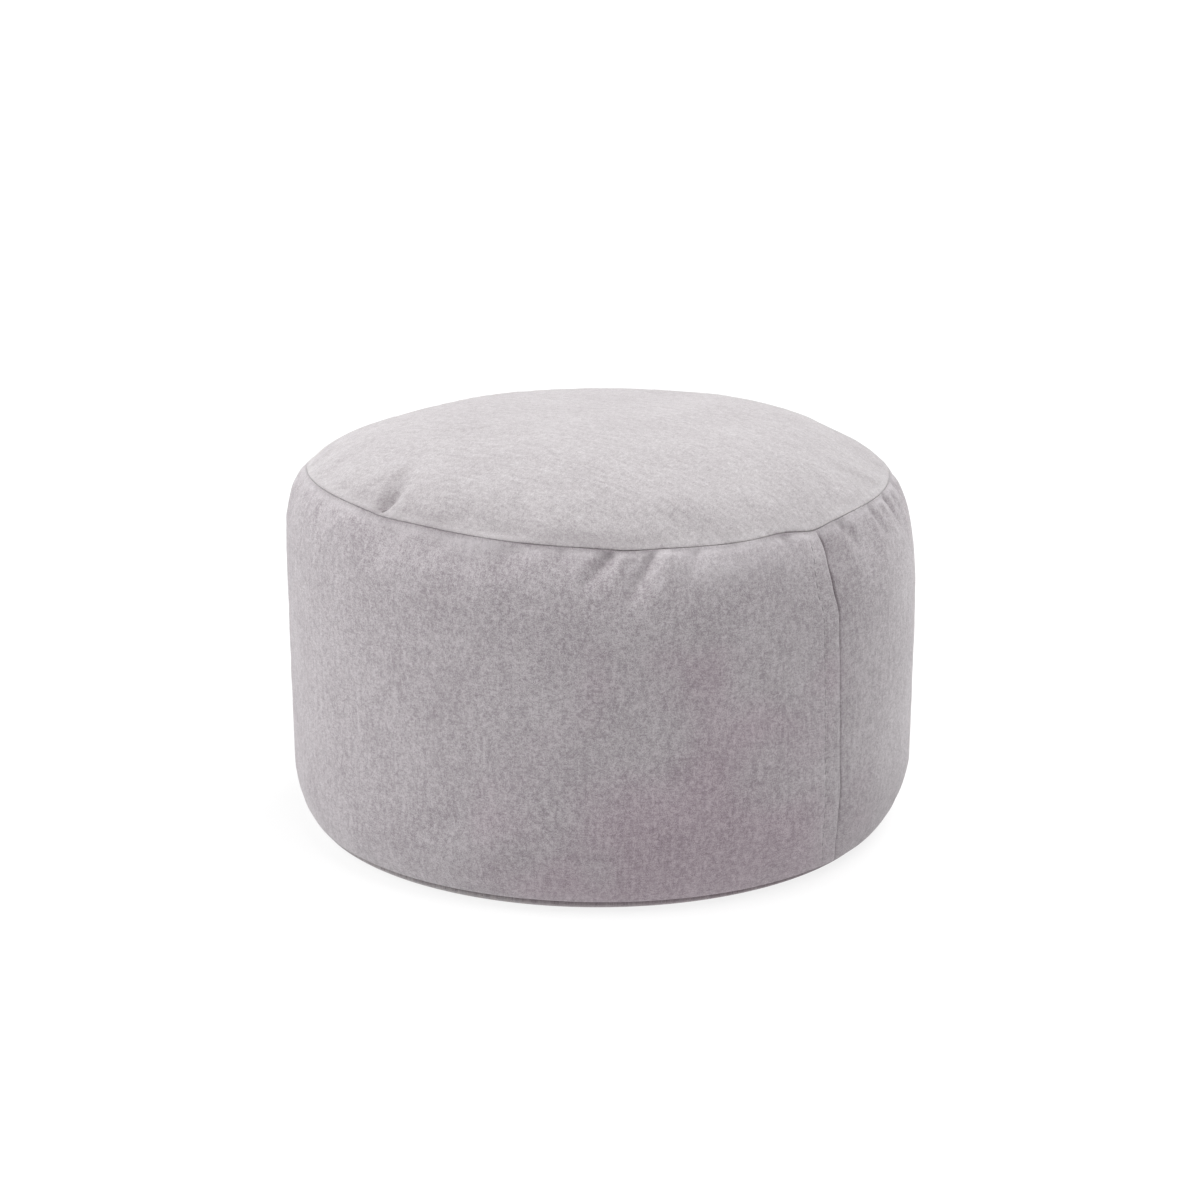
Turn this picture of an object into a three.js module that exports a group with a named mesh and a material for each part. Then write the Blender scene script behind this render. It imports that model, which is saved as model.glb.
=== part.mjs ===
// Tall round floor cushion, sewn from three pieces of heathered cloth and filled firmly: a crowned top panel,
// a side band closed into a ring by one upright lapped seam, and a base panel that it rests on.
// Each cut piece is a filled solid, parted from the next one along their seam.
// Millimetres, +Z up. The origin is the middle of the flat underside, and the front faces -Y.
// An azimuth is in degrees, 0 at the front and growing towards +X.
import * as THREE from 'three';

// Driving dimensions of the filled form
const SIZES = {
  bulgeRadius: 210,
  bulgeHeight: 50,
  topSeamRadius: 193,
  topSeamHeight: 232,
  footRadius: 187,
  baseSeamHeight: 4,
  shoulderPower: 10.5,
};
const CROWN_RISE = 44;
const CROWN_POWER = 3.43;
const DIP_POWER = 14;
const FOOT_POWER = 1.5;
const SEAM_GAP = 0.3;

// Soft filling is uneven: each size swings round the cushion, `turns` times in one lap
const SWINGS = [
  { of: 'topSeamHeight', turns: 1, sin: -1.9, cos: 1.6 },
  { of: 'topSeamHeight', turns: 2, sin: -2.6, cos: -5.2 },
  { of: 'topSeamRadius', turns: 1, sin: -2.3, cos: 0 },
  { of: 'bulgeHeight', turns: 1, sin: -4.5, cos: 0 },
  { of: 'bulgeHeight', turns: 2, sin: 20, cos: 8.6 },
  { of: 'bulgeRadius', turns: 2, sin: 0.8, cos: 0 },
  { of: 'footRadius', turns: 1, sin: -1.6, cos: 0 },
  { of: 'baseSeamHeight', turns: 1, sin: -2.2, cos: 1.2 },
  { of: 'shoulderPower', turns: 1, sin: -3, cos: 0 },
];

// Short stretches where the top seam is pulled down, or up where the drop is negative
const SEAM_DIPS = [
  { azimuth: -42.5, reach: 5, drop: 1.2 },
  { azimuth: 4.5, reach: 4, drop: 1 },
  { azimuth: 34, reach: 5, drop: -1.4 },
  { azimuth: 42, reach: 4, drop: 2.2 },
  { azimuth: 57, reach: 8, drop: -1 },
];

// Gathers in the band under the top seam, each a soft line from its head to its toe.
// fall is the height below the seam; a negative lift is a trough and a positive one a ridge.
const BAND_GATHERS = [
  { head: 3.4, headFall: 1, toe: -1.2, toeFall: 12, halfWidth: 3.6, lift: -2.4 },
  { head: 4.8, headFall: 4, toe: 0.4, toeFall: 27, halfWidth: 4.6, lift: 1.3 },
  { head: 9.4, headFall: 1, toe: 4.6, toeFall: 16, halfWidth: 4, lift: -2.3 },
  { head: 11.6, headFall: 4, toe: 8.8, toeFall: 27, halfWidth: 6, lift: 1.2 },
  { head: 17.6, headFall: 1, toe: 16.4, toeFall: 9, halfWidth: 3.4, lift: -1.5 },
  { head: 18.4, headFall: 12, toe: 17.4, toeFall: 24, halfWidth: 7, lift: 0.8 },
  { head: 24.4, headFall: 24, toe: 23, toeFall: 40, halfWidth: 12, lift: -1.1 },
  { head: 49, headFall: 1, toe: 51.6, toeFall: 15, halfWidth: 4.4, lift: -1.3 },
  { head: 62.2, headFall: 1, toe: 62.6, toeFall: 14, halfWidth: 4.6, lift: -1.6 },
  { head: 69, headFall: 1, toe: 70.2, toeFall: 19, halfWidth: 5, lift: -2.2 },
  { head: 79.6, headFall: 2, toe: 80.6, toeFall: 18, halfWidth: 5.4, lift: -2 },
  { head: -66, headFall: 1, toe: -64, toeFall: 14, halfWidth: 5, lift: -1.2 },
  { head: 128, headFall: 1, toe: 125, toeFall: 18, halfWidth: 5.6, lift: -2 },
  { head: 176, headFall: 1, toe: 178, toeFall: 16, halfWidth: 5.6, lift: -1.9 },
  { head: -142, headFall: 1, toe: -139, toeFall: 20, halfWidth: 6, lift: -2.1 },
];

// Folds in the top panel, with inset the distance in from the top seam
const TOP_FOLDS = [
  { head: -42.6, headInset: 0, toe: -43.4, toeInset: 27, halfWidth: 5, lift: -2.6 },
  { head: -38.6, headInset: 4, toe: -39, toeInset: 24, halfWidth: 6, lift: 0.8 },
  { head: 103, headInset: 0, toe: 106, toeInset: 22, halfWidth: 6, lift: -1.6 },
  { head: -168, headInset: 0, toe: -164, toeInset: 24, halfWidth: 6, lift: -1.7 },
];

// Seams pull the cloth in along a narrow line
const TOP_SEAM_GROOVE = { depth: 2.6, halfWidth: 2.6 };
const BASE_SEAM_GROOVE = { depth: 1, halfWidth: 2 };

// Upright closing seam: its path up the band, and the folded edge that laps over from the left
const CLOSING_SEAM = {
  azimuth: 44.3,
  height: 114,
  leanPerMm: 0.012,
  footCurl: 6,
  footReach: 18,
  shoulderStep: 1,
  shoulderFrom: 174,
  shoulderTo: 196,
};
const LAP = { rise: 1.3, fade: 11, stitchInset: 12, stitchDip: 0.5, stitchHalfWidth: 3, edge: 0.5, sewnIn: 7 };

// Mesh columns: every lap starts behind the cushion, and each stretch keeps its step up to the next one
const COLUMN_STRETCHES = [
  { from: -180, step: 5 },
  { from: -52, step: 2 },
  { from: -36, step: 4.5 },
  { from: -4, step: 1.2 },
  { from: 14, step: 2 },
  { from: 22, step: 4 },
  { from: 38, step: 1.5 },
  { from: 52, step: 4 },
  { from: 60, step: 2.1 },
  { from: 84, step: 5 },
];
const COLUMNS_FOLLOW_SEAM_WITHIN = 16;
const BAND_ROWS = 22;
const BAND_ROW_PULL = 0.85;
const TOP_RINGS = 13;
const TOP_RING_POWER = 1.9;
const RIM_RINGS = 3;
const NORMAL_STEP = 0.05;

const CLOTH = { roughness: 0.95, metalness: 0 };
const COLOURS = { top: '#d2cecf', band: '#bdb8bb', base: '#aea9ac' };

const radians = THREE.MathUtils.degToRad;

function sizeAt(name, azimuth) {
  const swings = SWINGS.filter((swing) => swing.of === name);
  return swings.reduce((size, swing) => {
    const angle = swing.turns * radians(azimuth);
    return size + swing.sin * Math.sin(angle) + swing.cos * Math.cos(angle);
  }, SIZES[name]);
}

function bell(distance, halfWidth) {
  return Math.exp(-((distance / halfWidth) ** 2));
}

function turnBetween(azimuth, other) {
  return THREE.MathUtils.euclideanModulo(azimuth - other + 180, 360) - 180;
}

function seamDip(azimuth) {
  return SEAM_DIPS.reduce((sum, dip) => sum + dip.drop * bell(turnBetween(azimuth, dip.azimuth), dip.reach), 0);
}

// Height of the seam between the top panel and the band
function topSeamHeight(azimuth) {
  return sizeAt('topSeamHeight', azimuth) - seamDip(azimuth);
}

// Radius of the outside at a height: nearly upright, rolled in late at the shoulder and early at the foot
function sideRadius(azimuth, height) {
  const bulge = sizeAt('bulgeRadius', azimuth);
  const middle = sizeAt('bulgeHeight', azimuth);
  if (height > middle) {
    const climb = (height - middle) / (topSeamHeight(azimuth) - middle);
    const seam = sizeAt('topSeamRadius', azimuth);
    return seam + (bulge - seam) * (1 - climb ** sizeAt('shoulderPower', azimuth));
  }
  const descent = Math.min(1, (middle - height) / middle);
  const foot = sizeAt('footRadius', azimuth);
  return foot + (bulge - foot) * Math.sqrt(1 - descent ** FOOT_POWER);
}

function polar(azimuth, radius, height) {
  const angle = radians(azimuth);
  return new THREE.Vector3(radius * Math.sin(angle), -radius * Math.cos(angle), height);
}

function sidePoint(azimuth, height) {
  return polar(azimuth, sideRadius(azimuth, height), height);
}

// Point of the crowned top, with share 0 at its middle and 1 at the seam
function topPoint(azimuth, share) {
  const swing = (sizeAt('topSeamHeight', azimuth) - SIZES.topSeamHeight) * share ** 2;
  const dip = seamDip(azimuth) * share ** DIP_POWER;
  const crown = CROWN_RISE * (1 - share ** CROWN_POWER);
  return polar(azimuth, sizeAt('topSeamRadius', azimuth) * share, SIZES.topSeamHeight + swing - dip + crown);
}

// Lift at a place on the cloth from soft lines that run from head to toe and fade towards the toe
function foldLift(folds, azimuth, along, alongKey) {
  return folds.reduce((lift, fold) => {
    const perDegree = radians(SIZES.topSeamRadius);
    const head = new THREE.Vector2(turnBetween(fold.head, azimuth) * perDegree, fold[`head${alongKey}`] - along);
    const toe = new THREE.Vector2(turnBetween(fold.toe, azimuth) * perDegree, fold[`toe${alongKey}`] - along);
    const run = toe.clone().sub(head);
    const share = THREE.MathUtils.clamp(-head.dot(run) / run.lengthSq(), 0, 1);
    const distance = head.addScaledVector(run, share).length();
    return lift + fold.lift * (1 - 0.6 * share) * bell(distance, fold.halfWidth);
  }, 0);
}

function closingSeamAzimuth(height) {
  const seam = CLOSING_SEAM;
  const lean = seam.leanPerMm * (seam.height - height);
  const curl = seam.footCurl * Math.exp(-height / seam.footReach);
  const step = seam.shoulderStep * THREE.MathUtils.smoothstep(height, seam.shoulderFrom, seam.shoulderTo);
  return seam.azimuth + lean + curl - step;
}

// Lift beside the closing seam: the lapping edge stands up on the left and dips along its row of stitches
function lapLift(azimuth, height) {
  const across = turnBetween(azimuth, closingSeamAzimuth(height)) * radians(SIZES.bulgeRadius);
  const fromSeams = Math.min(topSeamHeight(azimuth) - height, height - sizeAt('baseSeamHeight', azimuth));
  const raised = THREE.MathUtils.smoothstep(fromSeams, 0, LAP.sewnIn);
  if (across > 0) return 0;
  const edge = LAP.rise * Math.exp(across / LAP.fade);
  return raised * (edge - LAP.stitchDip * bell(across + LAP.stitchInset, LAP.stitchHalfWidth));
}

function grooveLift(groove, distance) {
  return -groove.depth * bell(distance, groove.halfWidth);
}

// Moves a point of a surface out along its normal
function lifted(surface, azimuth, along, lift) {
  const point = surface(azimuth, along);
  const onward = surface(azimuth + NORMAL_STEP, along).sub(surface(azimuth - NORMAL_STEP, along));
  const upward = surface(azimuth, along + NORMAL_STEP).sub(surface(azimuth, along - NORMAL_STEP));
  return point.addScaledVector(onward.cross(upward).normalize(), lift);
}

// Mesh columns near the closing seam bend along with it
function columnAzimuth(column, height) {
  const apart = Math.abs(turnBetween(column, CLOSING_SEAM.azimuth)) / COLUMNS_FOLLOW_SEAM_WITHIN;
  const nearness = THREE.MathUtils.smoothstep(1 - apart, 0, 0.6);
  return column + nearness * (closingSeamAzimuth(height) - CLOSING_SEAM.azimuth);
}

// Point on the band's outside at a share of its height, 0 at the base seam and 1 at the top seam
function bandPoint(column, share) {
  const low = sizeAt('baseSeamHeight', column);
  const height = low + (topSeamHeight(column) - low) * share;
  const azimuth = columnAzimuth(column, height);
  const fall = topSeamHeight(azimuth) - height;
  const lift = foldLift(BAND_GATHERS, azimuth, fall, 'Fall')
    + lapLift(azimuth, height)
    + grooveLift(TOP_SEAM_GROOVE, fall)
    + grooveLift(BASE_SEAM_GROOVE, height - low);
  const inside = THREE.MathUtils.clamp(height, NORMAL_STEP, topSeamHeight(azimuth) - NORMAL_STEP);
  return lifted(sidePoint, azimuth, inside, lift);
}

function topPanelPoint(column, share) {
  const inset = (1 - share) * SIZES.topSeamRadius;
  const lift = foldLift(TOP_FOLDS, column, inset, 'Inset') + grooveLift(TOP_SEAM_GROOVE, inset);
  const flatTop = (azimuth, along) => topPoint(azimuth, 1 - along / SIZES.topSeamRadius);
  return lifted(flatTop, column, Math.max(inset, NORMAL_STEP), lift);
}

function meshColumns() {
  const edge = LAP.edge / radians(SIZES.bulgeRadius);
  const columns = COLUMN_STRETCHES.flatMap((stretch, index) => {
    const end = COLUMN_STRETCHES[index + 1]?.from ?? 180;
    const count = Math.round((end - stretch.from) / stretch.step);
    return Array.from({ length: count }, (_, k) => stretch.from + ((end - stretch.from) * k) / count);
  });
  const clear = columns.filter((azimuth) => Math.abs(azimuth - CLOSING_SEAM.azimuth) > 2 * edge);
  const lapEdges = [CLOSING_SEAM.azimuth - 0.01, CLOSING_SEAM.azimuth + edge];
  return [...clear, ...lapEdges].sort((a, b) => a - b);
}

// Closes a stack of rings, lowest first, with one point at the middle of each end
function closedSkin(lowMiddle, rings, highMiddle) {
  const width = rings[0].length;
  const points = [lowMiddle, ...rings.flat(), highMiddle];
  const last = points.length - 1;
  const index = [];
  for (let column = 0; column < width; column += 1) {
    const next = (column + 1) % width;
    index.push(0, 1 + next, 1 + column);
    for (let ring = 0; ring + 1 < rings.length; ring += 1) {
      const low = 1 + ring * width;
      const high = low + width;
      index.push(low + column, low + next, high + next);
      index.push(low + column, high + next, high + column);
    }
    const top = last - width;
    index.push(last, top + column, top + next);
  }
  const geometry = new THREE.BufferGeometry().setFromPoints(points);
  geometry.setIndex(index);
  geometry.computeVertexNormals();
  return geometry;
}

function clothPiece(name, geometry, colour) {
  const piece = new THREE.Mesh(geometry, new THREE.MeshStandardMaterial({ color: colour, ...CLOTH }));
  piece.name = name;
  return piece;
}

function lowered(ring, by) {
  return ring.map((point) => point.clone().setZ(point.z - by));
}

function topPanel(columns) {
  const shares = Array.from({ length: TOP_RINGS }, (_, k) => 1 - (k / TOP_RINGS) ** TOP_RING_POWER);
  const rings = shares.map((share) => columns.map((column) => topPanelPoint(column, share)));
  const under = new THREE.Vector3(0, 0, SIZES.topSeamHeight);
  const crown = new THREE.Vector3(0, 0, SIZES.topSeamHeight + CROWN_RISE);
  return clothPiece('top_panel', closedSkin(under, rings, crown), COLOURS.top);
}

function sideBand(columns) {
  const shares = Array.from({ length: BAND_ROWS + 1 }, (_, k) => {
    const even = k / BAND_ROWS;
    return even - (BAND_ROW_PULL * Math.sin(2 * Math.PI * even)) / (2 * Math.PI);
  });
  const rings = shares.map((share) => columns.map((column) => bandPoint(column, share)));
  const seamRing = columns.map((column) => topPanelPoint(column, 1));
  rings[BAND_ROWS] = lowered(seamRing, SEAM_GAP);
  const under = new THREE.Vector3(0, 0, SIZES.baseSeamHeight + SEAM_GAP);
  const over = new THREE.Vector3(0, 0, SIZES.topSeamHeight - SEAM_GAP);
  return clothPiece('side_band', closedSkin(under, rings, over), COLOURS.band);
}

function basePanel(columns) {
  const seamRing = lowered(columns.map((column) => bandPoint(column, 0)), SEAM_GAP);
  const rings = Array.from({ length: RIM_RINGS }, (_, k) => {
    const share = k / RIM_RINGS;
    return columns.map((column, at) => {
      const height = seamRing[at].z * share ** 2;
      return sidePoint(columnAzimuth(column, height), height);
    });
  });
  const under = new THREE.Vector3(0, 0, 0);
  const over = new THREE.Vector3(0, 0, SIZES.baseSeamHeight);
  return clothPiece('base_panel', closedSkin(under, [...rings, seamRing], over), COLOURS.base);
}

const columns = meshColumns();
const cushion = new THREE.Group();
cushion.name = 'round_cushion';
cushion.add(topPanel(columns), sideBand(columns), basePanel(columns));

export default cushion;
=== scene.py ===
"""A tall round floor cushion in light grey heathered cloth: a crowned top panel, a side band closed by one
lapped and topstitched seam, and a base panel. Its filling is eased out by a cloth simulation, and its
gathers, seams and stitches are laid over that."""
import math
from collections import namedtuple
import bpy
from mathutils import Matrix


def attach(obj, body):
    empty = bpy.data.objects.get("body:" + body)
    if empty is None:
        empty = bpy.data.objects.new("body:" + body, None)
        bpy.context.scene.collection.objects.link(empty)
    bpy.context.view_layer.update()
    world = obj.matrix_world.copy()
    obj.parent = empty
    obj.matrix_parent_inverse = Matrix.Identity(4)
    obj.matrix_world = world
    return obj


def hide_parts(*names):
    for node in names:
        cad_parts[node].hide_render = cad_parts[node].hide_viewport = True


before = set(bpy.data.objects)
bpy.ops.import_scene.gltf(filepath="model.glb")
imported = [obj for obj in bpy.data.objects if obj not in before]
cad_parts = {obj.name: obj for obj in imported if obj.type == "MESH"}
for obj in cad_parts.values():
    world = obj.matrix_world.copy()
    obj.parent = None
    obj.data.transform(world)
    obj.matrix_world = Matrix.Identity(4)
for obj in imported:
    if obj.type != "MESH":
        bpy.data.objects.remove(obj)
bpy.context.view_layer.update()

from types import SimpleNamespace as Settings

import bpy
import numpy as np

# Kinds of row in the tables below
Swing = namedtuple("Swing", "of turns sine cosine")
Stretch = namedtuple("Stretch", "azimuth reach amount")
Fold = namedtuple("Fold", "head toe half_width lift")
Patch = namedtuple("Patch", "azimuth reach along depth share")
Stripe = namedtuple("Stripe", "at half_width share")
Cloth = namedtuple("Cloth", "contrast mottling streaks tone")
Grain = namedtuple("Grain", "scale start detail roughness")
Sun = namedtuple("Sun", "azimuth elevation strength width")

# The cushion is worked out in millimetres and degrees, and its meshes are made in metres.
# An azimuth is 0 at the front, -Y, and grows towards +X.
MM = 0.001
SIZES = {
    "bulge_radius": 210, "bulge_height": 50,
    "top_seam_radius": 193, "top_seam_height": 232, "shoulder_power": 10.5,
    "foot_radius": 187, "base_seam_height": 4,
}
TOP_RADIUS = SIZES["top_seam_radius"]
CROWN_RISE = 44
CROWN_POWER = 3.43
DIP_POWER = 14
FOOT_POWER = 1.5
BAND_MM_PER_DEGREE = math.radians(SIZES["bulge_radius"])
TOP_MM_PER_DEGREE = math.radians(TOP_RADIUS)

# Soft filling is uneven: each size swings round the cushion, this many turns in one lap
SWINGS = (
    Swing("top_seam_height", 1, -1.9, 1.6),
    Swing("top_seam_height", 2, -2.6, -5.2),
    Swing("top_seam_radius", 1, -2.3, 0),
    Swing("bulge_height", 1, -4.5, 0),
    Swing("bulge_height", 2, 20, 8.6),
    Swing("bulge_radius", 2, 0.8, 0),
    Swing("foot_radius", 1, -1.6, 0),
    Swing("base_seam_height", 1, -2.2, 1.2),
    Swing("shoulder_power", 1, -3, 0),
)

# Short stretches where the top seam is pulled down, or up where the amount is negative
SEAM_DIPS = (
    Stretch(-42.5, 5, 1.2),
    Stretch(4.5, 4, 1),
    Stretch(34, 5, -1.4),
    Stretch(42, 4, 2.2),
    Stretch(57, 8, -1),
)

# Gathers in the band under the top seam: (azimuth, height below the seam) at head and toe, half width, lift
BAND_GATHERS = (
    Fold((1.4, 3), (-2.6, 19), 3.8, -4.4),
    Fold((3.6, 4), (0.6, 27), 4, 1.7),
    Fold((8.8, 3), (4.8, 23), 3, -4),
    Fold((11, 4), (10, 24), 5.6, 2.1),
    Fold((16.6, 2), (15.6, 10), 3.2, -2.2),
    Fold((18.6, 12), (17.4, 24), 7, 0.9),
    Fold((8, 42), (19, 42), 28, 3.8),
    Fold((-22, 36), (-36, 30), 15, 1.5),
    Fold((30, 15), (22, 19), 10, 2.3),
    Fold((-16, 10), (-46, 10), 11, -2.6),
    Fold((46, 14), (57, 14), 11, -1.6),
    Fold((24.4, 24), (23, 40), 12, -1.1),
    Fold((-6.6, 2), (-7.4, 9), 3.2, -1.6),
    Fold((34.2, 2), (34.8, 11), 3.2, -2.2),
    Fold((38.4, 3), (38.8, 15), 6, 1.5),
    Fold((49, 2), (51.6, 15), 4, -2.4),
    Fold((54.5, 3), (56, 15), 5, 1.0),
    Fold((60.5, 2), (61.6, 16), 3.6, -2.9),
    Fold((65.2, 3), (66.2, 18), 4, 2.2),
    Fold((69.4, 2), (70.8, 20), 3.6, -3.8),
    Fold((74.6, 3), (76, 20), 4.2, 2.2),
    Fold((80.4, 2), (81.6, 19), 4.4, -2.6),
    Fold((-66, 2), (-64, 14), 5, -1.2),
    Fold((128, 2), (125, 18), 5.6, -2),
    Fold((176, 2), (178, 16), 5.6, -1.9),
    Fold((-142, 2), (-139, 20), 6, -2.1),
)

# Folds in the top panel: (azimuth, distance in from the seam) at head and toe, half width, lift
TOP_FOLDS = (
    Fold((-44.8, 4), (-45, 14), 3.8, -2.8),
    Fold((-45.2, 13), (-47.4, 28), 7.5, -4.6),
    Fold((-44.9, 0), (-44.8, 6), 3.2, -2.6),
    Fold((-40.2, 4), (-41, 24), 5, 1.3),
    Fold((-66, 28), (-54, 28), 15, 1.2),
    Fold((-34, 28), (-48, 28), 15, 2.2),
    Fold((-16, 4), (-40, 4), 9, -2.4),
    Fold((-49, 3), (-64, 4), 7, -1.8),
    Fold((18, 24), (-10, 24), 13, 2.4),
    Fold((103, 4), (106, 24), 6, -1.9),
    Fold((-168, 4), (-164, 26), 6, -2),
)
FOLD_FADE = 0.6

# Seams: how far the edges of cloth roll in before they meet, at the top where it is closed and where open
SEAM_GAP = 0.03
TOP_SEAM_ROLL = (0.12, 0.6)
BASE_SEAM_ROLL = 2.4
SEAM_SINK = 0.5
SINK_REACH = 6
SEAM_OPENINGS = (
    Stretch(-62, 11, 0.5),
    Stretch(-48, 3.5, 0.45),
    Stretch(-40, 5, 0.55),
    Stretch(-29, 7, 0.65),
    Stretch(-13, 6, 0.65),
    Stretch(2, 10, 0.7),
    Stretch(17, 4, 0.2),
    Stretch(23.5, 2, 0.4),
    Stretch(36, 6, 0.8),
    Stretch(48, 5, 0.35),
    Stretch(62, 4, 0.35),
    Stretch(108, 18, 0.5),
    Stretch(156, 16, 0.6),
    Stretch(-162, 13, 0.5),
    Stretch(-118, 20, 0.5),
)

# Stitches hold the cloth at the top seam: folds keep this share of their lift there and open out past it
SEAM_HOLD = Settings(share=0.2, band_reach=5, top_reach=6)

# Cloth turned in behind a seam: how far in each of its rows lies, how far up, and where the band is closed
TURNED_IN = (3, 9)
TURNED_RISES = {"top": (0.3, 1.2), "band_head": (-1.5, -5), "band_foot": (1, 4), "base": (0.2, 0.8)}
BAND_CLOSED_AT = Settings(foot=5, head=-8)

# Soft stripes along the seams, of painted highlight where the rolled edges catch the light, and of painted
# shade: each is strongest at its distance
STRIPES = {
    "top_highlight": Stripe(2.4, 2.4, 0.5),
    "band_highlight": Stripe(2.6, 2.4, 1),
    "lap_highlight": Stripe(-1.4, 1.3, 0.6),
    "top_line": Stripe(0, 2, 1),
    "band_line": Stripe(0, 2, 2),
    "beside_line": Stripe(0, 9, 0.3),
    "base_line": Stripe(0, 1.4, 0.45),
}
SEAM_SHADE = 0.4
FOLD_SHADE = 0.06

# Soft patches beside the top seam: painted highlight where the band catches the light, and painted shade
# where the top lies in its own shade
HIGHLIGHT_PATCHES = (
    Patch(21, 17, 12, 10, 0.75),
    Patch(-23, 7, 7, 6, 0.8),
)
SHADED_PATCHES = (
    Patch(-2, 11, 5, 5, 0.28),
    Patch(-33, 5, 3, 4, 0.16),
)

# The upright closing seam: its path up the band, and the folded edge that laps over from the left
CLOSING_SEAM = Settings(
    azimuth=43.7, height=114, lean_per_mm=0.012,
    foot_curl=6, foot_reach=18,
    shoulder_step=0.9, shoulder_from=178, shoulder_to=194,
    top_return=1.0, return_from=204, return_to=222,
)
LAP = Settings(
    rise=1.2, fade=9, edge=0.9, sewn_in=7,
    tuck=0.5, tuck_at_shoulder=0.8, tuck_reach=2.4,
    stitch_inset=12, stitch_dip=0.5, stitch_half_width=1.6,
)

# Shade to the right of the lap: a line and a wide hollow, with what the shoulder adds to each
LAP_SHADE = Settings(
    line_at=1.4, line_reach=1.5, line=0.5,
    hollow_reach=32, hollow=0.12, seam_reach=6,
    shoulder_fall=36, shoulder_ends=60,
    shoulder_line_reach=0.4, shoulder_line=0.45, shoulder_hollow=0.06,
)

# The fine meshes: the band's columns crowd together and bend along with the closing seam beside it
BAND_COLUMNS = 720
LAP_COLUMNS = (-14, -13, -12, -11, -10, -6, -3, -1.5, -0.9, -0.5, -0.2, 0.02, 0.4, 0.9, 1.6, 2.6, 4, 6)
COLUMN_GAP = 0.2
FOLLOW = Settings(within=16, full_from=0.6)
BAND_ROWS = 104
BAND_ROW_PULL = 0.86
TOP_RINGS = 84
TOP_RING_POWER = 1.3
BASE_RINGS = 40
RIM_ROWS = 8
CROWN_STEPS = 400
LAYOUT_TURN = 20
NORMAL_STEP = 0.05

# How the filling is eased out: the coarse cover, the fuller cloth near its seam, and how much of it is kept
EASE = Settings(
    rings=23, rows=30, frames=24,
    full_at=10, full_reach=24, full_past_seam=4,
    held=0.01, held_seam=0.9, held_reach=3,
    uneven=0.3, even_below=12, seed=11,
    kept=0.36, most=1.6, seam_reach=6, foot_reach=12,
)
COVER_CLOTH = {
    "quality": 8, "mass": 0.3,
    "tension_stiffness": 30, "compression_stiffness": 20, "shear_stiffness": 10, "bending_stiffness": 60,
    "use_pressure": True, "uniform_pressure_force": 0.6,
    "vertex_group_shrink": "taut", "shrink_min": -0.05, "shrink_max": -0.004,
    "vertex_group_mass": "resting",
}
FAR_FROM_SEAMS = 1000.0
WRAP = Settings(before=3, after=4)

# Each panel's cloth: how strongly its threads, mottling and streaks vary, and the tone laid over them
# Top and band are one cloth: their tones are its grey with painted light and shade, the top paler, the band
# darker
CLOTHS = {
    "top_heather": Cloth(0.7, 0.26, 0.16, (0.905, 0.91, 0.902)),
    "band_heather": Cloth(1.08, 0.42, 0.22, (0.828, 0.815, 0.826)),
    "base_heather": Cloth(0.8, 0.3, 0.2, (0.62, 0.61, 0.6)),
}

# The weave: thread width and wander in millimetres, colours as linear light
WEAVE = Settings(
    thread=0.78, wander=1.1, crossing=0.25, roundness=0.4, fibre_share=0.6,
    dark=(0.355, 0.318, 0.338),
    middle=(0.505, 0.472, 0.488),
    pale=(0.66, 0.63, 0.645),
    # Colours of the painted highlight, the painted shade, and the painted shade low down
    brushed=(0.72, 0.70, 0.71), brushed_share=0.32,
    seam_shade=(0.42, 0.38, 0.40),
    low_shade=(0.93, 0.925, 0.93), low_reach=0.12,
)
MAUVE = Settings(
    tint=(0.97, 0.89, 0.935), middle=(0.06, -0.2, 0.015), reach=0.13,
    unevenness=1.8, full_within=0.35, gone_past=1.2,
)
RELIEF = Settings(threads=0.55, lint=0.8, fibres=0.5, strength=0.55, depth=0.35)
FINISH = Settings(
    roughness=0.84, by_fibre=0.16, between_threads=0.06,
    gloss=0.25, sheen=0.28, sheen_roughness=0.55,
)
GRAIN_TURN = 58

# Noise: its scales, across the warp first, where it starts, and how fine and rough it is. The scales are per
# millimetre of cut cloth, and per metre for the mauve cast and the floor.
GRAINS = {
    "wander": Grain((0.09, 0.06, 0), (0, 0, 0), 1, 0.5),
    "warp": Grain((0.72, 0.34, 0), (0, 0, 0), 2, 0.6),
    "weft": Grain((0.36, 0.66, 0), (31, 17, 0), 2, 0.6),
    "fibre": Grain((1.5, 1.2, 0), (7, 3, 0), 1, 0.5),
    "streak": Grain((0.34, 0.035, 0), (11, 5, 0), 2, 0.55),
    "mottle": Grain((0.24, 0.16, 0), (19, 23, 0), 2, 0.5),
    "cloud": Grain((0.032, 0.022, 0), (8.5, 2.5, 0), 2, 0.5),
    "lint": Grain((0.5, 0.5, 0), (13, 29, 0), 3, 0.65),
    "mauve": Grain((17, 17, 20), (0.4, 0.2, 0.9), 1.5, 0.5),
    "floor": Grain((3, 3, 3), (0, 0, 0), 2, 0.5),
}

# Topstitching beside the closing seam, and its two-ply thread
STITCHES = {
    "Pitch": 7.5 * MM,
    "Stitch length": 3.9 * MM,
    "Thread radius": 0.42 * MM,
    "Unevenness": 0.12,
    "Seed": 5,
}
STITCH_ROW = Settings(from_seams=9, points=90, sides=8, rings=7)
THREAD = Settings(
    dark=(0.27, 0.25, 0.26), pale=(0.37, 0.345, 0.355),
    plies=900, twist=1.5, strength=0.6, depth=0.1,
    roughness=0.62, by_ply=0.12, sheen=0.15,
)

# The camera looks along +Y, down on a point of the cushion's axis
PHOTO_WIDTH = 1200
CAMERA = Settings(aim_height=130, distance=1500, pitch=16.13, lens=66.27, sensor=36, sees_to=1000)
CAMERA_SHIFT = (-1.71 / PHOTO_WIDTH, 18.35 / PHOTO_WIDTH)

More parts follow.
